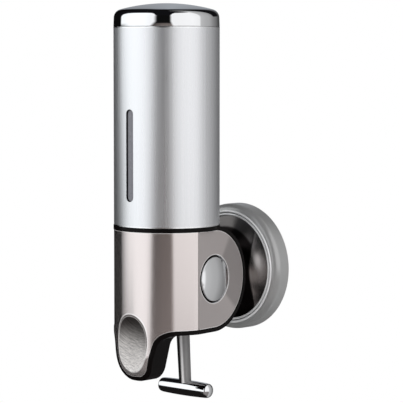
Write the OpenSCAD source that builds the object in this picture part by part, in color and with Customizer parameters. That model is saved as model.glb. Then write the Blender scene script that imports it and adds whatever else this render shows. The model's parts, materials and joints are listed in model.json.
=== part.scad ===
// Wall-mounted soap dispenser with a round refillable tank, a slanted spout and a pull lever.
// The origin is the centre of the wall face. +Y points into the wall, +Z is up, -Y is the front.

/* [Tank] */
// Outer radius of the steel sleeve
sleeve_r = 36; // [34:0.1:38]
// Height of the steel sleeve
sleeve_h = 134.2; // [120:0.1:160]
// Wall of the steel sleeve
sleeve_t = 0.8; // [0.6:0.1:1.2]
// Wall of the translucent tank
tank_t = 1.6; // [1.2:0.1:2.4]
// Floor of the tank
tank_floor = 2.5; // [2:0.1:4]
// Distance from the sleeve's top edge down to the tank's rim
tank_top_gap = 1.2; // [0.8:0.1:3]
// Width of the level window
window_w = 6.4; // [5:0.1:9]
// Height of the level window's lower end above the sleeve's bottom edge
window_z = 17.2; // [12:0.1:25]
// Length of the level window
window_len = 61.8; // [40:0.1:80]

/* [Lid] */
// Height of the lid above the sleeve
lid_h = 15.9; // [14:0.1:20]
// Radius of the crown's curve
lid_crown_r = 121; // [100:1:160]
// Radius of the lid's outer corner
lid_corner_r = 6; // [4:0.1:7]
// Wall of the lid
lid_t = 1.6; // [1.2:0.1:2]
// Depth of the skirt that plugs into the tank
skirt_h = 6; // [5:0.1:8]
// Wall of the skirt
skirt_t = 2.4; // [2:0.1:3]
// Height of the solid rim over the sleeve's edge
lid_rim_h = 3; // [2:0.1:5]
// Radius of the lid seal's cord
lid_seal_r = 0.8; // [0.6:0.05:1]

/* [Housing] */
// Distance of the tank's axis from the wall
wall_reach = 76.4; // [74:0.1:90]
// Distance of the lever's pivot behind the tank's axis
pivot_back = 11.6; // [10:0.05:13]
// Distance of the lever's pivot below the centre of the wall rose
pivot_drop = 2.2; // [0:0.05:4]
// Radius of the housing's round rear end, seen from the side
lobe_r = 35.85; // [34:0.05:37]
// Width of the black edge that shows round the steel cover
edge_w = 2.95; // [2:0.05:4]
// How far the black edge stands proud of the steel cover
edge_proud = 0.3; // [0.1:0.05:0.6]
// How far the flat side panels lie inside the sleeve's radius, measured at the tank's axis
side_inset = 1.5; // [0.5:0.1:2]
// Angle by which each side panel closes in towards the wall
side_angle = 6.3; // [5:0.1:7.5]
// Wall of the housing
housing_t = 2.4; // [2:0.1:3]
// Thickness of the housing's top plate
deck_t = 3; // [2.5:0.1:4]
// Sheet of the steel cover
cover_t = 0.8; // [0.6:0.1:1]
// Height of the round collar under the sleeve, at the rear
collar_h = 12; // [11:0.5:14]

/* [Spout] */
// Distance of the cover's lowest point below the pivot
nose_drop = 65.2; // [60:0.1:68]
// Radius of the nose's two bottom corners
nose_corner_r = 10.5; // [8:0.1:11]
// Half distance between the centres of the nose's bottom corners
nose_half = 2.5; // [1:0.1:5]
// Slant of the nose's sides from the vertical
nose_slant = 15.5; // [12:0.1:19]
// Radius that blends the nose into the cover's bottom edge
nose_fillet_r = 13.3; // [11:0.1:15]
// Depth of the nose from the sleeve's front to the nose's rear face
nose_depth = 18.4; // [17:0.1:21]
// Height below the pivot at which the nose's front starts to curve in
nose_round_drop = 49.8; // [46:0.1:54]
// Radius of that curve, seen from the side
nose_round_r = 29; // [24:0.5:36]
// Bore of the chute
chute_r = 12.6; // [11:0.1:13]
// Wall of the chute's metal liner
chute_t = 0.8; // [0.6:0.1:1]
// Thickness of the liner's closed upper end
chute_end_t = 1.2; // [0.8:0.1:2]
// Height of the mouth's centre below the pivot
mouth_drop = 44.1; // [42:0.1:46]
// Lean of the chute from the vertical
chute_lean = 38.8; // [37:0.1:44]
// Length of the chute from the front wall along its axis
chute_len = 37; // [32:0.5:40]
// Plastic wall round the chute
chute_wall = 2.2; // [1.8:0.1:3]
// Depth of that wall below the housing's bottom, behind the nose
chute_back_h = 9.3; // [6:0.1:11]

/* [Lever] */
// Angle of the lever's pull
lever_swing = 22; // [15:1:24]
// Lean of the stem towards the wall at rest
stem_lean = 3.65; // [2:0.05:5]
// Distance of the stem's line behind the pivot, at the pivot's height
stem_back = 1.87; // [1:0.01:4]
// Length of the stem's line from the pivot's height to the T-bar's axis
stem_len = 78.8; // [74:0.1:82]
// Radius of the stem at the hub
stem_top_r = 4.8; // [4.2:0.05:5]
// Radius of the stem at the T-bar
stem_low_r = 4.2; // [3.4:0.05:4.6]
// Length of the T-bar
bar_len = 46.6; // [40:0.2:56]
// Radius of the T-bar at its middle
bar_r = 5.5; // [5.2:0.05:5.8]
// Radius of the T-bar at its ends
bar_end_r = 4.9; // [4.2:0.05:5]
// Radius of the rounded rims at the T-bar's ends
bar_rim_r = 1.8; // [1:0.1:2.2]
// Radius of the domes at the T-bar's ends
bar_dome_r = 8; // [6:0.5:14]
// Radius of the pivot pin
pin_r = 3; // [2.5:0.1:3.5]
// Outer radius of the hub round the pin
hub_r = 5.5; // [5:0.1:5.6]
// Half length of the hub along the pin
hub_half = 12.7; // [10:0.1:14]
// Length of the hub's socket for the stem, from the pivot's height
socket_len = 16; // [14:0.5:20]
// Wall of the socket outside the stem's widest end
socket_lip = 2.15; // [1.5:0.05:3]
// Radius of the stem's stub in the socket
stub_r = 3; // [2.5:0.1:3.5]
// Radius of the stem's stub in the T-bar
bar_stub_r = 2.2; // [1.6:0.1:2.6]
// Outer radius of the pin's bushes
bush_r = 5; // [4.5:0.1:5.5]
// Length of each bush
bush_len = 8; // [6:0.5:10]
// Radius of the housing's bosses round the bushes
boss_r = 7; // [6.5:0.1:8]
// Distance between the pivot and the pump's axis, which is also the cam's base radius
cam_base_r = 16.5; // [15.5:0.1:17]
// Height of the cam's contact above the pivot at rest
cam_rise = 3.6; // [3:0.1:3.8]
// Width of the cam arm
cam_w = 8; // [6:0.5:10]
// Radius of the round caps over the pivot
cap_r = 15.9; // [14:0.1:17]
// Height of the caps' rim above the cover
cap_proud = 0.6; // [0.3:0.1:1]
// Radius of the caps' domed face
cap_dome_r = 85; // [60:5:160]
// Width of the groove round each cap
cap_groove = 0.6; // [0.3:0.05:1]
// Radius of the spigot behind each cap
cap_spigot_r = 5; // [4:0.1:6]
// Depth of the spigot behind each cap
cap_spigot_h = 2.2; // [1.8:0.1:3]

/* [Pump] */
// Bore radius of the pump
pump_r = 8; // [7:0.1:8.5]
// Wall of the pump's cylinder
pump_t = 2; // [1.6:0.1:2.1]
// Height of the valve head
head_h = 9; // [8.8:0.1:9.4]
// Radius of the valve head
head_r = 13; // [12.6:0.1:14]
// Height of the piston
piston_h = 3; // [2.6:0.1:3.2]
// Radius of the plunger's foot plate
foot_r = 12.2; // [11.9:0.1:12.3]
// Thickness of the plunger's foot plate
foot_t = 1.8; // [1.5:0.1:2]
// Radius of the plunger's rod
rod_r = 3.2; // [2.5:0.1:4]
// Mean radius of the return spring
spring_r = 11.15; // [11:0.05:11.3]
// Wire radius of the return spring
wire_r = 0.55; // [0.4:0.05:0.6]
// Turns of the return spring
spring_turns = 6; // [4:1:7]
// Radius of the inlet from the tank
inlet_r = 2.2; // [1.8:0.1:2.6]
// Radius of the cage disc, the seal and the tank's outlet spout
cage_r = 5; // [4.6:0.1:6]
// Thickness of the cage disc
cage_t = 1.2; // [1:0.1:1.6]
// Radius of the inlet valve's ball
ball_r = 3; // [2.6:0.1:3.1]
// Lift of the inlet valve's ball
ball_lift = 1.1; // [0.8:0.1:1.2]
// Outer radius of the outlet tube
tube_r = 3; // [2.6:0.1:3.2]
// Bore radius of the outlet tube
tube_bore_r = 1.8; // [1.2:0.1:2]
// Depth of the outlet tube's seat in the valve head
tube_seat = 3; // [2:0.1:4]
// Length of the soft nozzle tip
tip_len = 5; // [4:0.1:6]
// Wall of the soft nozzle tip
tip_t = 0.8; // [0.6:0.1:1]
// Distance of the pump's screws from its axis
pump_screw_at = 10; // [9.8:0.1:10.2]
// Distance of the outlet tube's upright leg behind the sleeve's front
tube_inset = 9; // [8:0.5:11]

/* [Wall mount] */
// Radius of the wall rose
rose_r = 44.2; // [41:0.1:46]
// Depth of the rose's straight side
rose_side = 9.4; // [8:0.1:11]
// Radius of the rose's front edge
rose_edge_r = 4; // [3:0.1:5]
// Width of the rose's raised border
rose_border = 6.4; // [6:0.1:8]
// Depth of the step inside the raised border
rose_step = 1.2; // [0.8:0.1:1.6]
// Slope of the rose's face at its border
rose_slope = 9; // [6:0.5:14]
// Radius of the flare by which the face rises to the neck
rose_flare_r = 30; // [26:0.5:36]
// Radius of the collar in which the flare ends
rose_collar_r = 18.5; // [17.5:0.1:21]
// Sheet of the rose
rose_t = 1.2; // [0.8:0.1:1.4]
// Thickness of the wall plate
plate_t = 3; // [2.5:0.1:4]
// Diameter of the wall plate's screw circle
screw_circle_d = 60; // [54:1:64]
// Radius of the wall plate's screw holes
screw_hole_r = 2.6; // [2.2:0.1:3]
// Radius of the neck
neck_r = 15; // [13:0.5:17]
// Radius of the wall plate's spigot inside the neck
spigot_r = 9; // [8:0.1:9.2]
// Length of that spigot
spigot_len = 20; // [16:0.5:24]

/* [Screws] */
// Radius of the tank's screws
tank_screw_r = 1.5; // [1.2:0.1:2]
// Distance of the tank's screws from the tank's inner wall
tank_screw_inset = 7.5; // [6:0.5:9]
// Radius of the bosses in the tank
tank_boss_r = 3.2; // [2.8:0.1:4]
// Height of the bosses above the tank's floor
tank_boss_h = 4; // [3:0.1:6]
// Radius of the pump's screws
pump_screw_r = 1.2; // [1:0.1:1.4]
// Radius of the neck's screws
neck_screw_r = 1.75; // [1.5:0.05:2]
// Length of the neck's screws
neck_screw_len = 13; // [11:0.5:15]
// Radius of the two grub screws
grub_r = 1.5; // [1.2:0.1:2]

/* [Clearances] */
// Radial running clearance of pins and shafts
run_gap = 0.05; // [0.02:0.01:0.1]
// Gap between pieces that are only slid together
fit_gap = 0.1; // [0.05:0.05:0.2]
// Gap between pieces that pass each other
pass_gap = 0.3; // [0.2:0.05:0.4]

/* [Hidden] */
$fn = 96;
tank_y = -wall_reach;
pivot_y = tank_y + pivot_back;
pivot_z = -pivot_drop;
deck_z = pivot_z + lobe_r;
base_z = pivot_z - lobe_r;
cover_lobe_r = lobe_r - edge_w;
side_dist = sleeve_r - side_inset;
sleeve_top = deck_z + sleeve_h;
tank_r = sleeve_r - sleeve_t - fit_gap;
tank_top = sleeve_top - tank_top_gap;
tank_screw_at = tank_r - tank_t - tank_screw_inset;
skirt_r = tank_r - tank_t - pass_gap;
seal_r = tank_r - tank_t - run_gap;
nose_tip_z = pivot_z - nose_drop;
nose_rear = sleeve_r - nose_depth;
nose_round_z = pivot_z - nose_round_drop;
tube_front = sleeve_r - tube_inset;
mouth_z = pivot_z - mouth_drop;
chute_out_r = chute_r + chute_t;
chute_back_t = (sleeve_r - tube_front - tube_r - pass_gap + chute_out_r * cos(chute_lean)) / sin(chute_lean);
pump_y = pivot_y - cam_base_r;
head_top = deck_z - deck_t;
head_z = head_top - head_h;
stroke = cam_base_r * lever_swing * PI / 180;
foot_z = pivot_z + cam_rise + pass_gap;
foot_top = foot_z + foot_t;
piston_top = head_z - pass_gap - stroke;
piston_z = piston_top - piston_h;
piston_cap = 0.6;
piston_seal_r = 0.7;
cylinder_z = foot_top + stroke + pass_gap;
ball_pocket_r = ball_r + 0.8;
ball_z = head_z + cage_t + ball_r + fit_gap;
pocket_top = ball_z + ball_lift + fit_gap + sqrt(pow(ball_r, 2) - pow(inlet_r, 2));
pump_sink = head_h_of(pump_screw_r) + fit_gap;
pump_thread = deck_t - 0.4;
tank_seal_t = 1;
outlet_z = head_z + head_h * 0.4;
outlet_y = tank_y - tube_front;
boss_half = hub_half + pass_gap;
tip_top = mouth_z + chute_out_r / sin(chute_lean) + 4;
stub_top = hub_r + 1.2;
slot_side = 1.2;
slot_half = stem_top_r + slot_side;
stem_offset = stem_back + lobe_r * tan(stem_lean);
slot_front = lobe_r * tan(lever_swing - atan(stem_offset / lobe_r)) + slot_half + 1;
grub_depth = socket_len - 4;
neck_bolt_at = (spigot_r + neck_r) / 2;
neck_seat = 1;
lock_y = -plate_t - spigot_len * 3 / 4;
plate_r = rose_r - rose_t - fit_gap;
rose_front = rose_side + rose_edge_r;
side_x = (side_dist - pivot_back * sin(side_angle)) / cos(side_angle);
far = 100;
cut = 1;

// Points of an arc in the plane, from angle a0 to a1 in n steps
function arc(c, r, a0, a1, n) =
  [for (i = [0:n]) let (a = a0 + (a1 - a0) * i / n) [c[0] + r * cos(a), c[1] + r * sin(a)]];

// Plan of the housing, grown by a distance from the cover's outer face
module plan(grow) {
  function wedge_x(y) = (side_dist + grow - y * sin(side_angle)) / cos(side_angle);
  translate([0, tank_y]) intersection() {
    union() {
      circle(sleeve_r + grow);
      translate([-far / 2, 0]) square([far, wall_reach]);
    }
    polygon([
      [-wedge_x(-far), -far], [wedge_x(-far), -far],
      [wedge_x(wall_reach), wall_reach], [-wedge_x(wall_reach), wall_reach]
    ]);
  }
}

// Upright block with the housing's plan
module plan_block(grow, z0, z1) {
  translate([0, 0, z0]) linear_extrude(z1 - z0) plan(grow);
}

// Upright block with the housing's plan, whose front curves in towards the nose's tip
module shell_block(grow, z0, z1) {
  low = asin((nose_round_z - nose_tip_z + edge_w + 1) / nose_round_r);
  front = arc([sleeve_r - nose_round_r, nose_round_z], nose_round_r + grow, -low, 0, 8);
  intersection() {
    plan_block(grow, z0, z1);
    translate([0, tank_y, 0]) rotate_extrude() polygon(concat(
      [[0, front[0][1]]], front, [[far, nose_round_z], [far, far], [0, far]]
    ));
  }
}

// Block with the housing's side view: straight at the front, round at the rear
module lobe_block(r) {
  rotate([90, 0, 90]) linear_extrude(far, center = true) {
    translate([pivot_y, pivot_z]) circle(r);
    translate([pivot_y - far, pivot_z - r]) square([far, 2 * r]);
  }
}

// Front view of the nose, grown by a distance from the cover's edge
module nose_outline(grow) {
  r = nose_corner_r + grow;
  fillet = nose_fillet_r - grow;
  edge_z = pivot_z - cover_lobe_r - grow;
  corner_z = nose_tip_z + nose_corner_r;
  fillet_z = edge_z - fillet;
  tangent_x = nose_half + r * cos(nose_slant);
  tangent_z = corner_z - r * sin(nose_slant);
  fillet_x = tangent_x + (fillet + (fillet_z - tangent_z) * sin(nose_slant)) / cos(nose_slant);
  right = concat(
    arc([nose_half, corner_z], r, -90, -nose_slant, 8),
    arc([fillet_x, fillet_z], fillet, 180 - nose_slant, 90, 8)
  );
  top = [[fillet_x, edge_z + edge_w + 1], [-fillet_x, edge_z + edge_w + 1]];
  left = [for (i = [len(right) - 1:-1:0]) [-right[i][0], right[i][1]]];
  polygon(concat(right, top, left));
}

// Block with the nose's front view, from the front back to a distance before the tank's axis
module nose_block(grow, rear) {
  translate([0, tank_y - rear, 0]) rotate([90, 0, 0]) linear_extrude(far) nose_outline(grow);
}

// Places what follows on the chute's axis, with z running up the chute from the front wall
module at_chute() {
  translate([0, tank_y - sleeve_r, mouth_z]) rotate([-chute_lean, 0, 0]) children();
}

// Places what follows on a side panel over the pivot, with z pointing out of the panel
module at_panel(side) {
  mirror([side < 0 ? 1 : 0, 0, 0])
    translate([side_x, pivot_y, pivot_z]) rotate([0, 0, side_angle]) rotate([0, 90, 0]) children();
}

// Places what follows at the pump's axis
module at_pump(z) {
  translate([0, pump_y, z]) children();
}

// Places what follows on the stem's line, with z running down it from the pivot's height
module at_stem() {
  translate([0, pivot_y + stem_back, pivot_z]) rotate([180 + stem_lean, 0, 0]) children();
}

// Cylinder along X through the pivot
module pivot_rod(r, half) {
  translate([0, pivot_y, pivot_z]) rotate([0, 90, 0]) cylinder(h = 2 * half, r = r, center = true);
}

// Radius and height of a screw's head
function head_r_of(shank_r) = 1.75 * shank_r;
function head_h_of(shank_r) = 1.35 * shank_r;

// Screw with a hexagon socket, its head below and its shank pointing up
module screw(shank_r, shank_len) {
  cylinder(h = shank_len, r = shank_r);
  translate([0, 0, -head_h_of(shank_r)]) difference() {
    cylinder(h = head_h_of(shank_r), r = head_r_of(shank_r));
    translate([0, 0, -cut]) cylinder(h = cut + head_h_of(shank_r) / 2, r = shank_r * 0.85, $fn = 6);
  }
}

// Repeats what follows at the tank's three screws
module at_tank_screws() {
  translate([0, tank_y, deck_z])
    for (a = [90, 210, 330]) rotate([0, 0, a]) translate([tank_screw_at, 0, 0]) children();
}

// Repeats what follows at the pump's two screws
module at_pump_screws() {
  for (side = [-1, 1]) at_pump(head_z) translate([side * pump_screw_at, 0, 0]) children();
}

// Repeats what follows at the neck's two screws, with z pointing at the wall from the screws' seats
module at_neck_screws() {
  seat = sqrt(pow(lobe_r - housing_t, 2) - pow(neck_bolt_at, 2)) - neck_seat;
  translate([0, pivot_y + seat, pivot_z])
    for (side = [-1, 1]) translate([0, 0, side * neck_bolt_at]) rotate([-90, 0, 0]) children();
}

module ring(outer, inner, h) {
  difference() {
    cylinder(h = h, r = outer);
    translate([0, 0, -cut]) cylinder(h = h + 2 * cut, r = inner);
  }
}

module torus(r, wire) {
  rotate_extrude() translate([r, 0]) circle(wire, $fn = 24);
}

// Steel sleeve with its level window
module sleeve() {
  color("gainsboro") translate([0, tank_y, deck_z]) difference() {
    ring(sleeve_r, sleeve_r - sleeve_t, sleeve_h);
    translate([0, 0, window_z]) rotate([90, 0, 0]) linear_extrude(sleeve_r + 1) {
      translate([0, window_w / 2]) circle(window_w / 2);
      translate([0, window_len - window_w / 2]) circle(window_w / 2);
      translate([-window_w / 2, window_w / 2]) square([window_w, window_len - window_w]);
    }
  }
}

// Translucent tank with its outlet over the pump and three screw bosses
module tank() {
  color("lightgrey", 0.6) difference() {
    union() {
      translate([0, tank_y, deck_z]) difference() {
        cylinder(h = tank_top - deck_z, r = tank_r);
        translate([0, 0, tank_floor]) cylinder(h = tank_top - deck_z, r = tank_r - tank_t);
      }
      at_tank_screws() cylinder(h = tank_floor + tank_boss_h, r = tank_boss_r);
      at_pump(deck_z - deck_t + tank_seal_t) cylinder(h = deck_t, r = cage_r);
    }
    at_pump(deck_z - deck_t) cylinder(h = deck_t + tank_floor + cut, r = inlet_r);
    at_pump(deck_z + 0.5) cylinder(h = tank_floor, r1 = inlet_r, r2 = 2 * tank_floor + inlet_r);
    at_tank_screws() translate([0, 0, -cut]) cylinder(h = cut + tank_floor + tank_boss_h - 1, r = tank_screw_r);
  }
}

// Flat ring that seals the tank's outlet on the valve head
module tank_seal() {
  color("dimgrey") at_pump(deck_z - deck_t) ring(cage_r, inlet_r, tank_seal_t);
}

module tank_screws() {
  color("silver") at_tank_screws() translate([0, 0, -deck_t])
    screw(tank_screw_r, deck_t + tank_floor + tank_boss_h / 2);
}

// Outer outline of the lid from the crown's centre to the rim, for a wall offset inwards
function lid_arcs(inset) =
  let (
    crown = asin((sleeve_r - lid_corner_r) / (lid_crown_r - lid_corner_r)),
    crown_c = [0, lid_h - lid_crown_r],
    corner_c = [sleeve_r - lid_corner_r, crown_c[1] + (lid_crown_r - lid_corner_r) * cos(crown)]
  )
  concat(
    arc(crown_c, lid_crown_r - inset, 90, 90 - crown, 8),
    arc(corner_c, lid_corner_r - inset, 90 - crown, 0, 8)
  );

// Domed lid with a skirt and the groove of its seal
module lid() {
  inside = lid_arcs(lid_t);
  color("white") translate([0, tank_y, sleeve_top]) difference() {
    rotate_extrude() polygon(concat(
      lid_arcs(0),
      [[sleeve_r, 0], [skirt_r, 0], [skirt_r, -skirt_h], [skirt_r - skirt_t, -skirt_h]],
      [[skirt_r - skirt_t, lid_rim_h], [sleeve_r - lid_t, lid_rim_h]],
      [for (i = [len(inside) - 1:-1:0]) inside[i]]
    ));
    translate([0, 0, -skirt_h / 2]) torus(seal_r - lid_seal_r, lid_seal_r + run_gap);
  }
}

module lid_seal() {
  color("dimgrey") translate([0, tank_y, sleeve_top - skirt_h / 2]) torus(seal_r - lid_seal_r, lid_seal_r);
}

// Black housing: top plate, side walls, round rear end and the nose round the chute
module core_body() {
  inner = -cover_t - housing_t;
  color("#1a1718") difference() {
    union() {
      difference() {
        union() {
          intersection() {
            plan_block(edge_proud, base_z, deck_z);
            lobe_block(lobe_r);
          }
          translate([0, tank_y, deck_z - edge_w]) cylinder(h = edge_w, r = sleeve_r + edge_proud);
          intersection() {
            plan_block(edge_proud, deck_z - collar_h, deck_z);
            translate([0, tank_y, deck_z - collar_h]) cylinder(h = collar_h, r = sleeve_r + edge_proud);
          }
        }
        intersection() {
          plan_block(inner, base_z + housing_t, deck_z - deck_t);
          lobe_block(lobe_r - housing_t);
        }
        intersection() {
          plan_block(inner, deck_z - collar_h + deck_t, deck_z - deck_t);
          translate([0, tank_y, deck_z - collar_h]) cylinder(h = collar_h, r = sleeve_r + inner);
        }
      }
      intersection() {
        shell_block(edge_proud, nose_tip_z - edge_w, base_z + housing_t);
        nose_block(edge_w, nose_rear);
      }
      intersection() {
        shell_block(inner / 2, nose_tip_z, deck_z - deck_t);
        at_chute() translate([0, 0, -far]) cylinder(h = far + chute_back_t, r = chute_out_r + chute_wall);
        translate([-far / 2, -far - wall_reach, base_z - chute_back_h]) cube([far, 2 * far, far]);
      }
      for (side = [-1, 1]) mirror([side < 0 ? 1 : 0, 0, 0])
        translate([boss_half, pivot_y, pivot_z]) rotate([0, 90, 0])
          cylinder(h = side_x - cover_t - housing_t / 2 - boss_half, r = boss_r);
    }
    cover_recess();
    at_chute() translate([0, 0, -far]) cylinder(h = far + chute_len, r = chute_out_r + run_gap);
    pivot_rod(pin_r + run_gap, side_x);
    pivot_rod(bush_r + run_gap, boss_half + bush_len);
    for (side = [-1, 1]) at_panel(side)
      translate([0, 0, -cover_t - cap_spigot_h - fit_gap]) cylinder(h = far, r = cap_spigot_r + run_gap);
    translate([-slot_half, pivot_y - slot_front, base_z - cut])
      cube([2 * slot_half, slot_front + stem_offset + slot_half, cut + 3 * housing_t]);
    at_pump(deck_z - deck_t - cut) cylinder(h = deck_t + 2 * cut, r = cage_r + run_gap);
    at_tank_screws() translate([0, 0, -deck_t - cut]) cylinder(h = deck_t + 2 * cut, r = tank_screw_r + run_gap);
    at_pump_screws() translate([0, 0, head_h - cut]) cylinder(h = cut + pump_thread, r = pump_screw_r + run_gap);
    at_neck_screws() cylinder(h = neck_screw_len, r = neck_screw_r + run_gap);
    at_neck_screws() translate([0, 0, -2 * housing_t])
      cylinder(h = 2 * housing_t, r = head_r_of(neck_screw_r) + pass_gap);
  }
}

// Shallow pocket in the housing that the steel cover lies in
module cover_recess() {
  difference() {
    plan_block(edge_proud + 1, nose_tip_z - 1, deck_z + 1);
    shell_block(-cover_t, nose_tip_z - 2, deck_z + 2);
    cover_outside(run_gap);
  }
}

// Everything outside the cover's edge, left standing as the black edge
module cover_outside(gap) {
  difference() {
    translate([-far, -2 * far, -2 * far]) cube([2 * far, 3 * far, 4 * far]);
    lobe_block(cover_lobe_r + gap);
    nose_block(gap, 0);
  }
}

// Steel cover wrapped round the front and both sides
module housing_cover() {
  color("#b7aeaa") difference() {
    intersection() {
      difference() {
        shell_block(0, nose_tip_z, deck_z);
        shell_block(-cover_t, nose_tip_z - 1, deck_z + 1);
      }
      union() {
        lobe_block(cover_lobe_r);
        nose_block(0, 0);
      }
    }
    at_chute() translate([0, 0, -far]) cylinder(h = far + chute_len, r = chute_out_r + fit_gap);
    for (side = [-1, 1]) at_panel(side)
      translate([0, 0, -cover_t - cut]) cylinder(h = far, r = cap_r + cap_groove);
  }
}

// Chrome cap with a slightly domed face and a spigot
module pivot_cap(side) {
  half = asin(cap_r / cap_dome_r);
  dome_c = cap_proud - cap_dome_r * cos(half);
  color("silver") at_panel(side) rotate_extrude() polygon(concat(
    [[0, -cover_t - cap_spigot_h], [cap_spigot_r, -cover_t - cap_spigot_h]],
    [[cap_spigot_r, -cover_t], [cap_r, -cover_t]],
    arc([0, dome_c], cap_dome_r, 90 - half, 90, 6)
  ));
}

module pivot_cap_left() {
  pivot_cap(-1);
}

module pivot_cap_right() {
  pivot_cap(1);
}

// Metal tube of the chute, cut flush with the cover and closed at its upper end
module chute_liner() {
  color("lightgrey") difference() {
    intersection() {
      at_chute() translate([0, 0, -far / 2]) cylinder(h = far / 2 + chute_len, r = chute_out_r);
      shell_block(0, -far, far);
    }
    at_chute() translate([0, 0, -far]) cylinder(h = far + chute_len - chute_end_t, r = chute_r);
    translate([0, outlet_y, mouth_z]) cylinder(h = far, r = tube_r + run_gap);
  }
}

// Soft tip with a slit at the end of the outlet tube
module nozzle_tip() {
  taper = 2;
  slit = 0.4;
  color("dimgrey") translate([0, outlet_y, tip_top - tip_len]) difference() {
    union() {
      cylinder(h = taper, r1 = tube_bore_r, r2 = tube_r + tip_t);
      translate([0, 0, taper]) cylinder(h = tip_len - taper, r = tube_r + tip_t);
    }
    translate([0, 0, taper]) cylinder(h = tip_len, r = tube_r);
    translate([-tube_bore_r * 0.7, -slit / 2, -cut]) cube([tube_bore_r * 1.4, slit, tip_len]);
  }
}

// Rigid tube from the valve head forwards and down to the chute
module outlet_tube() {
  start_y = pump_y - head_r + tube_seat;
  end_z = tip_top - tip_len + 2;
  color("white") difference() {
    union() {
      translate([0, start_y, outlet_z]) rotate([90, 0, 0]) cylinder(h = start_y - outlet_y, r = tube_r);
      translate([0, outlet_y, outlet_z]) sphere(tube_r);
      translate([0, outlet_y, end_z]) cylinder(h = outlet_z - end_z, r = tube_r);
    }
    translate([0, start_y + cut, outlet_z]) rotate([90, 0, 0])
      cylinder(h = start_y + cut - outlet_y, r = tube_bore_r);
    translate([0, outlet_y, end_z - cut]) cylinder(h = outlet_z - end_z + cut, r = tube_bore_r);
  }
}

// Block under the top plate with the inlet seat, the ball's pocket and the outlet port
module valve_head() {
  color("whitesmoke") difference() {
    at_pump(head_z) cylinder(h = head_h, r = head_r);
    at_pump(head_z - cut) cylinder(h = head_h + 2 * cut, r = inlet_r);
    at_pump(head_z - cut) cylinder(h = cut + pocket_top - head_z, r = ball_pocket_r);
    at_pump(head_z - cut) cylinder(h = cut + cage_t, r = cage_r + run_gap);
    translate([0, pump_y, outlet_z]) rotate([90, 0, 0]) cylinder(h = head_r + cut, r = tube_bore_r);
    translate([0, pump_y - head_r + tube_seat, outlet_z]) rotate([90, 0, 0])
      cylinder(h = tube_seat + cut, r = tube_r + run_gap);
    at_pump_screws() translate([0, 0, -cut]) cylinder(h = head_h + 2 * cut, r = pump_screw_r + run_gap);
    at_pump_screws() translate([0, 0, -cut]) cylinder(h = cut + pump_sink, r = head_r_of(pump_screw_r) + fit_gap);
  }
}

// Pierced disc that keeps the inlet ball in its pocket
module valve_cage() {
  color("white") at_pump(head_z) difference() {
    cylinder(h = cage_t, r = cage_r);
    for (a = [45:90:315]) rotate([0, 0, a]) translate([cage_r * 0.56, 0, -cut])
      cylinder(h = cage_t + 2 * cut, r = cage_r * 0.24);
  }
}

module inlet_ball() {
  color("silver") at_pump(ball_z) sphere(ball_r);
}

module pump_cylinder() {
  color("whitesmoke") at_pump(cylinder_z) ring(pump_r + pump_t, pump_r, head_z - cylinder_z);
}

module pump_screws() {
  color("silver") at_pump_screws() translate([0, 0, pump_sink])
    screw(pump_screw_r, head_h - pump_sink + pump_thread - 0.4);
}

// Foot plate that the cam lifts, with the rod and the stub that the piston sits on
module plunger() {
  color("whitesmoke") {
    at_pump(foot_z) cylinder(h = foot_t, r = foot_r);
    at_pump(foot_z) cylinder(h = piston_z - foot_z, r = rod_r);
    at_pump(foot_z) cylinder(h = piston_top - foot_z - piston_cap, r = rod_r / 2);
  }
}

module piston() {
  color("white") at_pump(piston_z) difference() {
    cylinder(h = piston_h, r = pump_r - run_gap - 0.2);
    translate([0, 0, -cut]) cylinder(h = cut + piston_h - piston_cap, r = rod_r / 2 + run_gap);
    translate([0, 0, piston_h / 2]) torus(pump_r - run_gap - piston_seal_r, piston_seal_r + run_gap);
  }
}

module piston_seal() {
  color("dimgrey") at_pump(piston_z + piston_h / 2) torus(pump_r - run_gap - piston_seal_r, piston_seal_r);
}

// Return spring: a wire swept along a helix of six-sided rings
module return_spring() {
  sides = 6;
  rings = 12 * spring_turns;
  low = foot_top + wire_r + 0.02;
  high = head_z - wire_r - 0.02;
  function ring_point(i, j) =
    let (a = 360 * spring_turns * i / rings, b = 360 * j / sides, r = spring_r + wire_r * cos(b))
    [r * cos(a), r * sin(a), low + (high - low) * i / rings + wire_r * sin(b)];
  points = [for (i = [0:rings]) for (j = [0:sides - 1]) ring_point(i, j)];
  walls = [
    for (i = [0:rings - 1]) for (j = [0:sides - 1])
      let (k = (j + 1) % sides, a = i * sides, b = a + sides)
      for (face = [[a + j, a + k, b + k], [a + j, b + k, b + j]]) face
  ];
  start = [for (j = [1:sides - 2]) [0, j + 1, j]];
  end = [for (j = [1:sides - 2]) [rings * sides, rings * sides + j, rings * sides + j + 1]];
  color("silver") at_pump(0) polyhedron(points, concat(walls, start, end));
}

module pivot_pin() {
  color("silver") pivot_rod(pin_r, side_x - cover_t - cap_spigot_h - 2 * pass_gap);
}

module pivot_bushes() {
  color("white") for (side = [-1, 1]) mirror([side < 0 ? 1 : 0, 0, 0])
    translate([boss_half, pivot_y, pivot_z]) rotate([0, 90, 0]) ring(bush_r, pin_r + run_gap, bush_len);
}

// Contact point of the cam, in the lever's own plane, that touches the plunger at a pull of a degrees
function cam_point(a) =
  let (h = cam_rise + cam_base_r * a * PI / 180)
  [-cam_base_r * cos(a) - h * sin(a), -cam_base_r * sin(a) + h * cos(a)];

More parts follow.
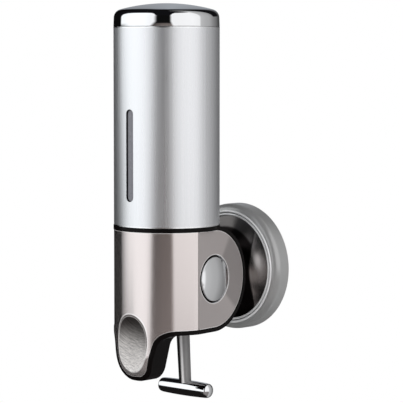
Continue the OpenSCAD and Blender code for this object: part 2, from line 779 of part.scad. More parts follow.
// Hub on the pivot pin, with the cam arm to the front and the stem's socket below
module lever_hub() {
  color("#3a3a3c") difference() {
    union() {
      pivot_rod(hub_r, hub_half);
      translate([-cam_w / 2, pivot_y, pivot_z]) rotate([90, 0, 90]) linear_extrude(cam_w)
        polygon(concat(
          [[0, -hub_r], [-cam_base_r + 2, -hub_r + 1], [-cam_base_r - 2, -1]],
          [for (a = [lever_swing + 3:-3:-8]) cam_point(a)],
          [[-hub_r - 3, cam_rise - 0.6], [0, cam_rise - 0.6]]
        ));
      at_stem() cylinder(h = socket_len, r = stem_top_r + socket_lip);
    }
    pivot_rod(pin_r + run_gap, far / 2);
    at_stem() translate([0, 0, stub_top - fit_gap]) cylinder(h = socket_len, r = stub_r + run_gap);
    at_stem() translate([0, 0, grub_depth]) rotate([90, 0, 0]) cylinder(h = far / 2, r = grub_r + run_gap);
  }
}

// Grub screw that clamps the stem in the hub, reached from the wall side
module hub_set_screw() {
  color("silver") at_stem() translate([0, -stub_r, grub_depth]) rotate([90, 0, 0])
    cylinder(h = stem_top_r + socket_lip - stub_r - 0.2, r = grub_r);
}

// Solid of the T-bar along X: a little thicker in the middle, with rounded rims and domed ends
module bar_body() {
  half = bar_len / 2;
  sag = bar_r - bar_end_r;
  bow_r = (pow(half, 2) + pow(sag, 2)) / (2 * sag);
  dome = asin((bar_end_r - bar_rim_r) / (bar_dome_r - bar_rim_r));
  rim_at = half - bar_dome_r + (bar_dome_r - bar_rim_r) * cos(dome);
  bow = asin(rim_at / (bow_r - bar_rim_r));
  end = concat(
    arc([0, half - bar_dome_r], bar_dome_r, 90, 90 - dome, 5),
    arc([bar_end_r - bar_rim_r, rim_at], bar_rim_r, 90 - dome, bow, 5),
    arc([bar_r - bow_r, 0], bow_r, bow * 7 / 8, bow / 8, 6)
  );
  other = [for (i = [len(end) - 1:-1:0]) [end[i][0], -end[i][1]]];
  rotate([0, 90, 0]) rotate_extrude() polygon(concat(end, [[bar_r, 0]], other));
}

// Tapered chrome rod between the hub and the T-bar
module lever_stem() {
  color("silver") {
    difference() {
      at_stem() translate([0, 0, socket_len])
        cylinder(h = stem_len - socket_len, r1 = stem_top_r, r2 = stem_low_r);
      at_stem() translate([0, 0, stem_len]) bar_body();
    }
    at_stem() translate([0, 0, stub_top]) cylinder(h = socket_len + 1 - stub_top, r = stub_r);
    at_stem() translate([0, 0, stem_len - bar_r - 2]) cylinder(h = bar_r + 2, r = bar_stub_r);
  }
}

// Cross bar with domed ends, drilled for the stem
module t_bar() {
  color("silver") at_stem() translate([0, 0, stem_len]) difference() {
    bar_body();
    translate([0, 0, -bar_r - cut]) cylinder(h = bar_r + cut, r = bar_stub_r + run_gap);
  }
}

// Black arm between the housing's rear end and the wall plate
module neck() {
  color("#1a1718") difference() {
    translate([0, -plate_t, pivot_z]) rotate([90, 0, 0])
      cylinder(h = wall_reach - pivot_back - plate_t, r = neck_r);
    lobe_block(lobe_r);
    translate([0, 0, pivot_z]) rotate([90, 0, 0]) cylinder(h = plate_t + spigot_len + 1, r = spigot_r + run_gap);
    at_neck_screws() cylinder(h = neck_screw_len + 1, r = neck_screw_r);
    translate([0, lock_y, pivot_z - neck_r - cut]) cylinder(h = neck_r, r = grub_r);
  }
}

module neck_screws() {
  color("silver") at_neck_screws() screw(neck_screw_r, neck_screw_len);
}

// Grub screw under the neck that locks it on the wall plate's spigot
module lock_screw() {
  color("silver") translate([0, lock_y, pivot_z - neck_r + 0.5])
    cylinder(h = neck_r - spigot_r - 0.6, r = grub_r);
}

// Steel disc screwed to the wall, with the spigot that carries the dispenser
module wall_plate() {
  color("silver") rotate([90, 0, 0]) difference() {
    union() {
      cylinder(h = plate_t, r = plate_r);
      translate([0, pivot_z, 0]) cylinder(h = plate_t + spigot_len, r = spigot_r);
    }
    for (a = [45:90:315]) rotate([0, 0, a]) translate([screw_circle_d / 2, 0, -cut])
      cylinder(h = plate_t + 2 * cut, r = screw_hole_r);
  }
}

// Chrome rose: straight side, rounded front edge, a step and a face that flares to a collar round the neck
module wall_rose() {
  border_r = rose_r - rose_border;
  hole_r = neck_r + fit_gap;
  face = rose_front - rose_step;
  flare_c = [border_r + rose_flare_r * sin(rose_slope), face + rose_flare_r * cos(rose_slope)];
  steep = asin((flare_c[0] - rose_collar_r) / rose_flare_r);
  collar = flare_c[1] - rose_flare_r * cos(steep);
  outer = concat(
    [[rose_r, 0]],
    arc([rose_r - rose_edge_r, rose_side], rose_edge_r, 0, 90, 8),
    [[border_r + 1, rose_front], [border_r + 0.6, face]],
    arc(flare_c, rose_flare_r, -90 - rose_slope, -90 - steep, 8),
    [[hole_r / 2, collar], [hole_r / 2, collar - rose_t]]
  );
  inner = concat(
    arc(flare_c, rose_flare_r + rose_t, -90 - steep, -90 - rose_slope, 8),
    arc([rose_r - rose_edge_r, rose_side - 0.6], rose_edge_r - rose_t, 90, 0, 6),
    [[rose_r - rose_t, 0]]
  );
  color("silver") rotate([90, 0, 0]) difference() {
    rotate_extrude() polygon(concat(outer, inner));
    translate([0, pivot_z, -1]) cylinder(h = far, r = hole_r);
  }
}

sleeve();
tank();
tank_seal();
tank_screws();
lid();
lid_seal();
core_body();
housing_cover();
pivot_cap_left();
pivot_cap_right();
chute_liner();
nozzle_tip();
outlet_tube();
valve_head();
valve_cage();
inlet_ball();
pump_cylinder();
pump_screws();
plunger();
piston();
piston_seal();
return_spring();
pivot_pin();
pivot_bushes();
lever_hub();
hub_set_screw();
lever_stem();
t_bar();
neck();
neck_screws();
lock_screw();
wall_plate();
wall_rose();
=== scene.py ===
import json
from math import asin, cos, degrees, pi, radians, sin

import bmesh
import bpy
from mathutils import Matrix, Vector


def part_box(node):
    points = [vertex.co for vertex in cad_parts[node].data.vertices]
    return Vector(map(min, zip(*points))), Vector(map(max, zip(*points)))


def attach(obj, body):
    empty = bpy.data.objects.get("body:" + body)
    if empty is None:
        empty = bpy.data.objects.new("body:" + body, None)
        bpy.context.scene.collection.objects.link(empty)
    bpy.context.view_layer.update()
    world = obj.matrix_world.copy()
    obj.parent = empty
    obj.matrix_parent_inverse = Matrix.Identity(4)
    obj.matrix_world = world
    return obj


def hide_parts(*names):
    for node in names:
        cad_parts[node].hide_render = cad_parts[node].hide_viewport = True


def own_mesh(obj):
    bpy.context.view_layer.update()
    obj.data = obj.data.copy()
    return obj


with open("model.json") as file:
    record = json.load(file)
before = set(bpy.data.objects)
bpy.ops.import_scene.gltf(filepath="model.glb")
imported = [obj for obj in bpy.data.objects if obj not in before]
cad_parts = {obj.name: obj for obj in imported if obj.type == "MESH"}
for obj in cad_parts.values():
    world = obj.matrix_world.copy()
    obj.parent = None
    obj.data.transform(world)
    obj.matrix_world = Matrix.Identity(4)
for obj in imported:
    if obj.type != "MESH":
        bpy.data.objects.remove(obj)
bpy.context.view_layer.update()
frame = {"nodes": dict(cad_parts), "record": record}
nodes = frame["nodes"]
scene = bpy.context.scene
scene.view_settings.view_transform = "Standard"

# Sizes of the CAD model, in millimetres and degrees
MM = 0.001
REACH = 76.4  # from the wall to the tank's axis
PIVOT_BACK, PIVOT_DROP = 11.6, 2.2  # the lever's pivot, behind the tank's axis and below the wall rose's
PIVOT = Vector((0, PIVOT_BACK - REACH, -PIVOT_DROP))
LOBE_R = 35.85  # the housing's round end
DECK = LOBE_R - PIVOT_DROP  # height of the housing's top
SLEEVE_R, SLEEVE_H = 36.0, 134.2
SLEEVE_TOP = DECK + SLEEVE_H
SIDE_ANGLE, SIDE_DIST = 6.3, 34.5  # taper of the housing's flat sides, and their distance from the tank's axis
WINDOW_W, WINDOW_Z, WINDOW_LEN = 6.4, 17.2, 61.8  # level window, WINDOW_Z above the deck
STEM_LEAN, STEM_BACK, STEM_LEN = 3.65, 1.87, 78.8

# Level directions of the fitted camera's view
FORWARD = Vector((-0.6782, 0.7349, 0)).normalized()
RIGHT = Vector((0.7349, 0.6782, 0)).normalized()


# Camera: fitted to the photo's tank, seams and rose

def make_camera():
    pitch = radians(4.257)
    aim = FORWARD * cos(pitch) + Vector((0, 0, -sin(pitch)))
    data = bpy.data.cameras.new("camera")
    data.sensor_width = 36
    data.lens = 188.6
    data.clip_end = 50
    camera = bpy.data.objects.new("camera", data)
    camera.location = (0.9899, -1.1142, 0.1560)
    camera.rotation_mode = "QUATERNION"
    camera.rotation_quaternion = aim.to_track_quat("-Z", "Y")
    scene.collection.objects.link(camera)
    scene.camera = camera


make_camera()


# Node helpers

class Graph:
    def __init__(self, tree):
        self.tree = tree
        tree.nodes.clear()

    def node(self, kind, inputs=None, **settings):
        made = self.tree.nodes.new(kind)
        for key, value in settings.items():
            setattr(made, key, value)
        for key, value in (inputs or {}).items():
            if isinstance(value, bpy.types.NodeSocket):
                self.tree.links.new(value, made.inputs[key])
            else:
                made.inputs[key].default_value = value
        return made

    def math(self, operation, a, b=0.0, c=0.0):
        return self.node("ShaderNodeMath", {0: a, 1: b, 2: c}, operation=operation).outputs[0]

    def vector(self, operation, a, b=(0, 0, 0)):
        made = self.node("ShaderNodeVectorMath", {0: a, 1: b}, operation=operation)
        return made.outputs["Value" if operation in ("DOT_PRODUCT", "LENGTH", "DISTANCE") else "Vector"]

    def product(self, first, *others):
        for other in others:
            first = self.math("MULTIPLY", first, other)
        return first

    def axes(self, vector):
        return self.node("ShaderNodeSeparateXYZ", {0: vector}).outputs

    def join(self, x=0.0, y=0.0, z=0.0):
        return self.node("ShaderNodeCombineXYZ", {0: x, 1: y, 2: z}).outputs[0]

    def mix(self, factor, a, b, blend="MIX"):
        return self.node("ShaderNodeMix", {0: factor, 6: a, 7: b}, data_type="RGBA", blend_type=blend).outputs[2]

    def tinted(self, a, b):
        """The product of two colours."""
        return self.mix(1.0, a, b, "MULTIPLY")

    def step(self, value, low, high):
        """Rises softly from 0 at low to 1 at high."""
        made = self.node("ShaderNodeMapRange", {0: value, 1: low, 2: high}, interpolation_type="SMOOTHSTEP")
        return made.outputs[0]

    def band(self, value, low, high, soft):
        """1 where the value lies between low and high, with soft ends."""
        return self.product(self.step(value, low - soft, low + soft), self.step(value, high + soft, high - soft))

    def ramp(self, value, stops):
        made = self.node("ShaderNodeValToRGB", {0: value})
        ramp = made.color_ramp
        while len(ramp.elements) > 1:
            ramp.elements.remove(ramp.elements[-1])
        for i, (place, color) in enumerate(stops):
            element = ramp.elements[0] if i == 0 else ramp.elements.new(place)
            element.position = place
            element.color = (*(color if isinstance(color, tuple) else (color,) * 3), 1)
        return made.outputs[0]

    def by_degrees(self, part, stops, scale=1.0):
        """Ramp whose stops are given in degrees from -180 to 180, over a part of a full turn from 0 to 1."""
        return self.ramp(part, [((a + 180) / 360, c if isinstance(c, tuple) else c * scale) for a, c in stops])


def grey(value):
    return value, value, value, 1


WHITE, BLACK = grey(1), grey(0)


# World: white for the camera, soft white for matt surfaces, and a studio of bright boxes and dark
# cards for gloss. The studio hangs on directions in the room, so it holds still in every view.
# Its directions are given as a turn in degrees, 0 at the front and rising to the right, and a height.

# The light by turn, and how much of it is left at a low height on the left
BANDS = [
    (-180, (0.36, 0.38, 0.41)), (-173, (0.25, 0.26, 0.28)), (-168, 0.004), (-117, 0.004),
    (-114, (1.08, 1.11, 1.12)), (-80, (1.22, 1.25, 1.26)), (-50, (1.17, 1.19, 1.20)), (-34, (1.06, 1.07, 1.08)),
    (0, 1.0), (60, 1.06), (78, 0.97), (81, 0.56), (95, 0.47), (107, 0.43), (122, 0.27), (140, 0.15), (150, 0.08),
    (162, 0.06), (172, (0.22, 0.23, 0.25)), (180, (0.36, 0.38, 0.41)),
]
LEFT_FADE = [(-180, 1.0), (-125, 1.0), (-118, 0.05), (-111, 0.30), (-97, 0.80), (-86, 1.0), (180, 1.0)]
FADE_HEIGHTS = (-9, -2)
# The height by turn from which on it is dark
TOPS = [
    (-180, 54), (-150, 54), (-124, 6), (-116, 22), (-108, 34), (-100, 40), (-85, 46), (-60, 53), (-42, 53), (-31, 44),
    (-26, 32), (-24, 26), (10, 28), (16, 46), (26, 56), (60, 57), (78, 57), (86, 88), (115, 88), (123, 6),
    (152, 6), (164, 54), (180, 54),
]
TOP_TONE = (0.006, 0.006, 0.007, 1)
# The ground: how far below the horizon it starts by turn, how soft its edge is, and its tone
FLOORS = [
    (-180, 20), (-165, 20), (-120, 7), (-80, 7), (-60, 11), (-42, 12), (-28, 8), (60, 8), (78, 10), (84, 60), (140, 60),
    (165, 22), (180, 20),
]
FLOOR_SOFT = [(-180, 3), (-80, 3), (-60, 6), (-45, 8), (-30, 3.5), (180, 3.5)]
FLOOR_TONE = [
    (-180, 0.01), (-84, 0.01), (-60, 0.12), (-20, 0.26), (50, 0.26), (70, 0.22), (90, 0.34), (130, 0.34), (150, 0.2),
    (180, 0.01),
]
FLOOR_TINT = (1.0, 0.93, 0.91, 1)
DEEP_HEIGHTS, DEEP_TONE = (-36, -62), (0.012, 0.010, 0.010, 1)
# A brown card in front, black above, that widens downwards
CARD_TONE = [(-36, 0.07), (-20, 0.11), (-8, 0.16), (6, 0.17), (18, 0.24)]
CARD_TINT = (1.0, 0.86, 0.80, 1)
CARD_TURN, CARD_HALF = -6.5, 15.5
CARD_SPREAD, CARD_LEFT_SPREAD = 0.75, 2.1
CARD_BLACK_HEIGHTS = (-1.5, -3.5)
MATT_LIGHT = 0.95


def make_world():
    world = bpy.data.worlds.new("studio")
    world.use_nodes = True
    scene.world = world
    g = Graph(world.node_tree)
    way = g.node("ShaderNodeTexCoord").outputs["Generated"]
    across = g.vector("DOT_PRODUCT", way, tuple(RIGHT))
    towards = g.vector("DOT_PRODUCT", way, tuple(-FORWARD))
    part = g.math("ADD", g.math("DIVIDE", g.math("ARCTAN2", across, towards), 2 * pi), 0.5)
    turn = g.product(g.math("SUBTRACT", part, 0.5), 360)
    height = g.product(g.math("ARCSINE", g.axes(way)[2]), 180 / pi)

    def height_at_turn(stops):
        return g.product(g.by_degrees(part, stops, 1 / 90), 90)

    light = g.by_degrees(part, BANDS)
    faded = g.tinted(light, g.by_degrees(part, LEFT_FADE))
    light = g.mix(g.band(height, *FADE_HEIGHTS, 1.5), light, faded)

    widen = g.product(g.math("MINIMUM", height, 0), -CARD_SPREAD)
    aside = g.math("SUBTRACT", turn, CARD_TURN)
    left = g.math("ADD", g.math("ADD", aside, CARD_HALF), g.product(widen, CARD_LEFT_SPREAD))
    right = g.math("SUBTRACT", g.math("ADD", widen, CARD_HALF), aside)
    card = g.product(g.step(left, -7, 3), g.step(right, -4, 2))
    brown = g.tinted(g.by_degrees(part, CARD_TONE), CARD_TINT)
    brown = g.mix(g.step(height, *CARD_BLACK_HEIGHTS), grey(0.005), brown)
    light = g.mix(card, light, brown)

    above = g.step(g.math("SUBTRACT", height, height_at_turn(TOPS)), -1.5, 1.5)
    light = g.mix(above, light, TOP_TONE)

    under = g.math("ADD", height, height_at_turn(FLOORS))
    below = g.step(g.math("DIVIDE", under, height_at_turn(FLOOR_SOFT)), 0.4, -1)
    ground = g.tinted(g.by_degrees(part, FLOOR_TONE), FLOOR_TINT)
    ground = g.mix(g.step(height, *DEEP_HEIGHTS), ground, DEEP_TONE)
    light = g.mix(below, light, ground)

    path = g.node("ShaderNodeLightPath")
    matt = g.math("MAXIMUM", path.outputs["Is Diffuse Ray"], path.outputs["Is Transmission Ray"])
    light = g.mix(matt, light, grey(MATT_LIGHT))
    light = g.mix(path.outputs["Is Camera Ray"], light, WHITE)
    back = g.node("ShaderNodeBackground", {0: light, 1: 1.0})
    g.node("ShaderNodeOutputWorld", {0: back.outputs[0]})


make_world()


# Materials

def material(name, build, **values):
    made = bpy.data.materials.new(name)
    made.use_nodes = True
    g = Graph(made.node_tree)
    shader = g.node("ShaderNodeBsdfPrincipled")
    for key, value in values.items():
        socket = key if key == "IOR" else key.replace("_", " ").title().replace("Ior", "IOR")
        shader.inputs[socket].default_value = value
    g.node("ShaderNodeOutputMaterial", {0: shader.outputs[0]})
    build(g, shader.inputs)
    return made


def place(g):
    return g.node("ShaderNodeTexCoord").outputs["Object"]


def normal_of(g):
    return g.node("ShaderNodeNewGeometry").outputs["Normal"]


def noise(g, vector, scale, detail=3.0, roughness=0.5):
    inputs = {"Vector": vector, "Scale": scale, "Detail": detail, "Roughness": roughness}
    return g.node("ShaderNodeTexNoise", inputs).outputs[0]


def bumped(g, height, strength, distance, edge=0.0, normal=None):
    """A bump of a height, over edges rounded by a bevel or over a given normal."""
    inputs = {"Height": height, "Strength": strength, "Distance": distance}
    if edge:
        normal = g.node("ShaderNodeBevel", {0: edge}, samples=6).outputs[0]
    if normal:
        inputs["Normal"] = normal
    return g.node("ShaderNodeBump", inputs).outputs[0]


def vary(g, base, factor, amount):
    """The base colour, lightened and darkened by a factor from 0 to 1."""
    dark = tuple(c * (1 - amount) for c in base) + (1,)
    light = tuple(min(1, c * (1 + amount)) for c in base) + (1,)
    return g.mix(factor, dark, light)


def link(g, source, socket):
    g.tree.links.new(source, socket)


def edge_mask(g, radius, low, high):
    """1 within a radius of a sharp edge, 0 on open surface."""
    soft = g.node("ShaderNodeBevel", {0: radius}, samples=8).outputs[0]
    return g.step(g.math("SUBTRACT", 1.0, g.vector("DOT_PRODUCT", normal_of(g), soft)), low, high)


def chrome_build(g, inputs):
    where = place(g)
    haze = noise(g, where, 60, 4)
    link(g, g.ramp(haze, [(0.3, 0.03), (0.75, 0.055)]), inputs["Roughness"])
    link(g, vary(g, (0.86, 0.865, 0.88), noise(g, where, 25), 0.015), inputs["Base Color"])
    link(g, bumped(g, noise(g, where, 900, 2), 0.02, 0.00002, 0.0002), inputs["Normal"])


# Painted reflection on the stem: its tone by the direction that its surface faces, in degrees from the front, rising to
# the right
STEM_PAINTED_REFLECTION = [
    (-180, 0.38), (-137, 0.45), (-77, 0.3), (-47, 0.01), (2, 0.01), (10, 0.35), (17, 1.0), (29, 1.0),
    (36, 0.5), (41, 0.30), (62, 0.32), (73, 0.28), (83, 0.22), (103, 0.2), (143, 0.25), (180, 0.38),
]


def stem_reflection_build(g, inputs):
    """Satin rod with a painted reflection: a dark and a pale streak run down it, and the rest is mid grey."""
    where = place(g)
    facing = g.axes(normal_of(g))
    around = g.math("ARCTAN2", facing[0], g.product(facing[1], -1))
    # The tone is a painted reflection, set by the direction that the surface faces
    tone = g.by_degrees(g.math("ADD", g.math("DIVIDE", around, 2 * pi), 0.5), STEM_PAINTED_REFLECTION)
    lines = noise(g, g.vector("MULTIPLY", where, (1, 1, 0.04)), 1500, 3)
    link(g, g.tinted(tone, vary(g, (0.97, 0.95, 0.95), lines, 0.03)), inputs["Base Color"])
    link(g, g.ramp(lines, [(0.2, 0.2), (0.8, 0.3)]), inputs["Roughness"])


def sleeve_build(g, inputs):
    """Steel brushed along the tube, with a painted highlight as a bright band at each end, and painted shade darkening
    the walls of the level window's slot.
    """
    rim_from, rim_to = 0.95, 0.7
    where = place(g)
    offset = g.vector("SUBTRACT", where, (0, -REACH * MM, 0))
    high = g.math("DIVIDE", g.axes(where)[2], MM)
    # Painted highlight: a bright, smoother band at the top and bottom ends of the tube
    rim_highlights = g.math("ADD", g.step(high, DECK + rim_from, DECK + rim_to),
                  g.step(high, SLEEVE_TOP - rim_from, SLEEVE_TOP - rim_to))
    tone = noise(g, g.vector("MULTIPLY", where, (1, 1, 0.006)), 900, 4, 0.6)
    radial = g.vector("NORMALIZE", g.vector("MULTIPLY", offset, (1, 1, 0)))
    facing = g.vector("DOT_PRODUCT", radial, normal_of(g))
    # Painted shade: the slot's walls, which face across the tube, are darkened to near black
    slot = g.product(g.step(g.math("ABSOLUTE", facing), 0.6, 0.5), g.math("SUBTRACT", 1.0, rim_highlights))
    base = g.mix(rim_highlights, vary(g, (0.865, 0.875, 0.90), tone, 0.035), (0.95, 0.955, 0.97, 1))
    link(g, g.mix(slot, base, (0.03, 0.03, 0.035, 1)), inputs["Base Color"])
    link(g, g.mix(rim_highlights, g.ramp(tone, [(0.25, 0.265), (0.75, 0.295)]), grey(0.2)), inputs["Roughness"])
    link(g, g.vector("NORMALIZE", g.vector("CROSS_PRODUCT", (0, 0, 1), offset)), inputs["Tangent"])
    link(g, bumped(g, tone, 0.015, 0.00004, 0.0003), inputs["Normal"])


NOSE_R, NOSE_Z = 29.0, -52.0  # the curve that draws the nose in, and the height at which it starts


def cover_build(g, inputs):
    """Steel brushed upright round the front, and turned about the pivot on the flat sides."""
    where = place(g)
    low = g.axes(where)[2]
    true = normal_of(g)
    flat = g.step(g.math("ABSOLUTE", g.axes(true)[0]), 0.985, 0.992)
    offset = g.vector("SUBTRACT", where, tuple(PIVOT * MM))
    around = g.axes(offset)
    radius = g.math("SQRT", g.math("ADD", g.math("POWER", around[1], 2), g.math("POWER", around[2], 2)))
    upright = g.vector("MULTIPLY", where, (4, 4, 0.6))
    lines = g.mix(flat, noise(g, upright, 260, 4), noise(g, g.join(radius), 2600, 3))
    steel = vary(g, (0.765, 0.70, 0.69), lines, 0.05)
    # A painted reflection of the turned brushing: a darker wedge behind the cap, and a few pale rays
    angle = g.product(g.math("ARCTAN2", around[2], around[1]), 180 / pi)
    wedge = g.product(flat, g.band(angle, -42, 58, 4.5))
    steel = g.mix(g.product(wedge, 0.38), steel, (0.1, 0.09, 0.09, 1))
    rays = noise(g, g.join(angle), 0.16, 3, 0.7)
    steel = g.mix(g.product(flat, g.step(rays, 0.6, 0.78)), steel, (0.85, 0.80, 0.78, 1))
    # Painted shade: a dark line runs down each crease between the round front and a flat side. The distance from both
    # surfaces is measured in front of the tank's axis only.
    plan = g.vector("MULTIPLY", g.vector("SUBTRACT", where, (0, -REACH * MM, 0)), (1, 1, 0))
    plan_r = g.vector("LENGTH", plan)
    lengthwise = g.axes(plan)[1]
    to_side = g.vector("DOT_PRODUCT", g.vector("ABSOLUTE", plan), (cos(radians(SIDE_ANGLE)), 0, 0))
    taper = g.product(lengthwise, sin(radians(SIDE_ANGLE)))
    from_side = g.math("SUBTRACT", SIDE_DIST * MM, g.math("ADD", to_side, taper))
    from_front = g.math("SUBTRACT", SLEEVE_R * MM, plan_r)
    behind = g.product(g.step(lengthwise, 0.001, 0.003), 0.01)
    furthest = g.math("MAXIMUM", g.math("MAXIMUM", from_side, from_front), behind)
    crease = g.step(furthest, 0.00016, 0.00006)
    # Painted highlight: a pale, less metallic line along the sheet's edges, left off near the creases
    rim = g.product(edge_mask(g, 0.0010, 0.005, 0.03), g.step(furthest, 0.0003, 0.0006))
    steel = g.mix(g.product(flat, 0.34), steel, BLACK)
    steel = g.mix(g.product(crease, 0.6), steel, (0.05, 0.045, 0.045, 1))
    link(g, g.mix(rim, steel, (0.97, 0.94, 0.93, 1)), inputs["Base Color"])
    metal = g.mix(g.step(low, -0.053, -0.060), grey(0.95), grey(0.82))
    metal = g.mix(flat, metal, grey(0.60))
    link(g, g.mix(rim, metal, grey(0.45)), inputs["Metallic"])
    rough = g.mix(flat, g.ramp(lines, [(0.2, 0.12), (0.8, 0.16)]), g.ramp(lines, [(0.2, 0.34), (0.8, 0.42)]))
    link(g, rough, inputs["Roughness"])
    radial = g.vector("NORMALIZE", g.vector("MULTIPLY", offset, (0, 1, 1)))
    link(g, g.mix(flat, (0, 0, 1, 1), radial), inputs["Tangent"])
    # The front curves in smoothly towards the nose's tip
    out = g.vector("MULTIPLY", g.vector("NORMALIZE", plan), g.math("SUBTRACT", plan_r, (SLEEVE_R - NOSE_R) * MM))
    deep = g.math("SUBTRACT", low, NOSE_Z * MM)
    smooth = g.vector("NORMALIZE", g.vector("ADD", out, g.join(z=deep)))
    on_nose = g.product(g.step(deep, 0.0, -0.0003), g.step(g.vector("DOT_PRODUCT", smooth, true), 0.98, 0.99))
    rounded = g.vector("NORMALIZE", g.mix(on_nose, true, smooth))
    link(g, bumped(g, lines, 0.04, 0.00004, normal=rounded), inputs["Normal"])


CHUTE_LEAN, MOUTH_DROP = 38.8, 44.1  # slant of the chute, and how far its mouth lies below the pivot


def liner_build(g, inputs):
    """Turned steel with broken marks across the tube, with painted light low in the mouth and painted shade above, and
    a painted highlight on its rim.
    """
    start = Vector((0, -REACH - SLEEVE_R, -PIVOT_DROP - MOUTH_DROP)) * MM
    lean = Vector((0, sin(radians(CHUTE_LEAN)), cos(radians(CHUTE_LEAN))))
    where = place(g)
    axes = g.axes(where)
    along = g.vector("DOT_PRODUCT", g.vector("SUBTRACT", where, tuple(start)), tuple(lean))
    wobble = g.product(noise(g, where, 45, 2), 0.0012)
    marks = noise(g, g.join(g.math("ADD", along, wobble), g.product(axes[0], 0.3)), 1050, 6, 0.8)
    # Painted light and shade: pale low in the mouth, dark higher up the tube
    shade_height = g.math("ADD", axes[2], g.product(axes[0], 0.45))
    steel = g.mix(g.step(shade_height, -0.053, -0.036), (1.0, 0.97, 0.95, 1), (0.17, 0.15, 0.145, 1))
    steel = g.tinted(steel, g.ramp(marks, [(0.38, 0.45), (0.58, 1.0)]))
    # Painted highlight: a pale, less metallic line along the mouth's edge
    rim = edge_mask(g, 0.00028, 0.02, 0.08)
    link(g, g.mix(rim, steel, (0.98, 0.96, 0.955, 1)), inputs["Base Color"])
    link(g, g.mix(rim, grey(0.05), grey(0.1)), inputs["Metallic"])
    link(g, g.ramp(marks, [(0.2, 0.34), (0.8, 0.5)]), inputs["Roughness"])
    link(g, bumped(g, marks, 0.4, 0.0001, 0.0002), inputs["Normal"])


OUTER_BEAD, INNER_BEAD = (39.0, 0.85), (36.9, 0.8)  # the rose's two beads: where each runs, and its own radius
BEAD_OUT, BEAD_IN = sum(OUTER_BEAD), INNER_BEAD[0] - INNER_BEAD[1]
GROOVE = (37.7, 38.15)


def rose_build(g, inputs):
    """Satin side, two beads made bright by a painted highlight with painted shade in the groove between them, and a
    polished face darkened by a painted reflection of the housing.
    """
    where = place(g)
    spread = g.vector("MULTIPLY", where, (1 / MM, 0, 1 / MM))
    radius = g.vector("LENGTH", spread)
    satin = g.step(radius, BEAD_OUT - 0.1, BEAD_OUT + 0.1)
    face = g.step(radius, BEAD_IN + 0.1, BEAD_IN - 0.1)
    # Painted shade: the groove between the beads is near black
    groove = g.band(radius, *GROOVE, 0.06)
    haze = noise(g, where, 60, 4)
    axes = g.axes(spread)
    width = g.math("ABSOLUTE", axes[0])
    # Painted reflection of the housing on the face: black beside the neck, grey further out and on an upper ring
    beside = g.step(width, 23.2, 24.4)
    over = g.product(g.step(radius, 27.6, 29.4), g.step(axes[2], 15, 20))
    above = g.step(g.math("ADD", axes[2], g.product(width, 0.5)), -21, -17)
    clear = g.product(g.math("MAXIMUM", beside, g.product(over, 0.2)), above)
    painted_reflection = g.mix(clear, (0.012, 0.010, 0.010, 1), vary(g, (0.62, 0.585, 0.575), noise(g, where, 25), 0.05))
    # Painted highlight: between the inner bead and the satin side the beads are near white and little metallic
    base = g.mix(groove, g.mix(face, (0.97, 0.97, 0.98, 1), painted_reflection), grey(0.02))
    link(g, g.mix(satin, base, vary(g, (0.44, 0.44, 0.44), haze, 0.05)), inputs["Base Color"])
    rough = g.mix(face, grey(0.08), g.ramp(haze, [(0.3, 0.22), (0.75, 0.27)]))
    link(g, g.mix(satin, rough, grey(0.32)), inputs["Roughness"])
    metal = g.mix(face, grey(0.3), WHITE)
    link(g, g.mix(satin, metal, grey(0.5)), inputs["Metallic"])
    link(g, bumped(g, noise(g, where, 900, 2), 0.02, 0.00002), inputs["Normal"])


def plastic_build(g, inputs):
    where = place(g)
    link(g, vary(g, (0.004, 0.003, 0.003), noise(g, where, 30, 3), 0.3), inputs["Base Color"])
    link(g, g.ramp(noise(g, where, 180, 4), [(0.3, 0.20), (0.8, 0.28)]), inputs["Roughness"])
    link(g, bumped(g, noise(g, where, 1400, 2), 0.03, 0.00003, 0.0006), inputs["Normal"])


def tank_build(g, inputs):
    """Grey translucent plastic, with a painted shadow along the edge of the sleeve's window."""
    where = place(g)
    axes = g.axes(g.vector("MULTIPLY", where, (1 / MM, 1 / MM, 1 / MM)))
    middle = DECK + WINDOW_Z + WINDOW_LEN / 2
    beyond = g.math("SUBTRACT", g.math("ABSOLUTE", g.math("SUBTRACT", axes[2], middle)), (WINDOW_LEN - WINDOW_W) / 2)
    aside = g.math("SUBTRACT", axes[0], 0.4)
    out = g.vector("LENGTH", g.join(aside, g.math("MAXIMUM", beyond, 0.0)))
    half = WINDOW_W / 2
    shade = g.product(g.step(out, half - 0.8, half - 0.2), g.step(out, half + 1.6, half + 0.8))
    base = vary(g, (0.20, 0.20, 0.225), noise(g, where, 30, 3), 0.06)
    link(g, g.mix(shade, base, (0.015, 0.015, 0.017, 1)), inputs["Base Color"])
    link(g, g.ramp(noise(g, where, 220, 3), [(0.3, 0.22), (0.8, 0.34)]), inputs["Roughness"])


def moulded_build(g, inputs):
    where = place(g)
    link(g, vary(g, (0.78, 0.78, 0.76), noise(g, where, 60, 3), 0.04), inputs["Base Color"])
    link(g, bumped(g, noise(g, where, 1600, 2), 0.08, 0.00004, 0.0002), inputs["Normal"])


def rubber_build(g, inputs):
    where = place(g)
    link(g, vary(g, (0.03, 0.03, 0.032), noise(g, where, 90, 3), 0.2), inputs["Base Color"])
    link(g, bumped(g, noise(g, where, 1200, 3), 0.12, 0.00006), inputs["Normal"])


def steel_build(g, inputs):
    where = place(g)
    lines = noise(g, g.vector("MULTIPLY", where, (1, 1, 9)), 420, 4)
    link(g, vary(g, (0.60, 0.60, 0.61), lines, 0.07), inputs["Base Color"])
    link(g, g.ramp(lines, [(0.2, 0.24), (0.8, 0.36)]), inputs["Roughness"])
    link(g, bumped(g, lines, 0.08, 0.00005, 0.00015), inputs["Normal"])


def hub_build(g, inputs):
    where = place(g)
    link(g, vary(g, (0.06, 0.06, 0.065), noise(g, where, 200, 4), 0.2), inputs["Base Color"])
    link(g, bumped(g, noise(g, where, 1500, 3), 0.15, 0.00006, 0.0003), inputs["Normal"])


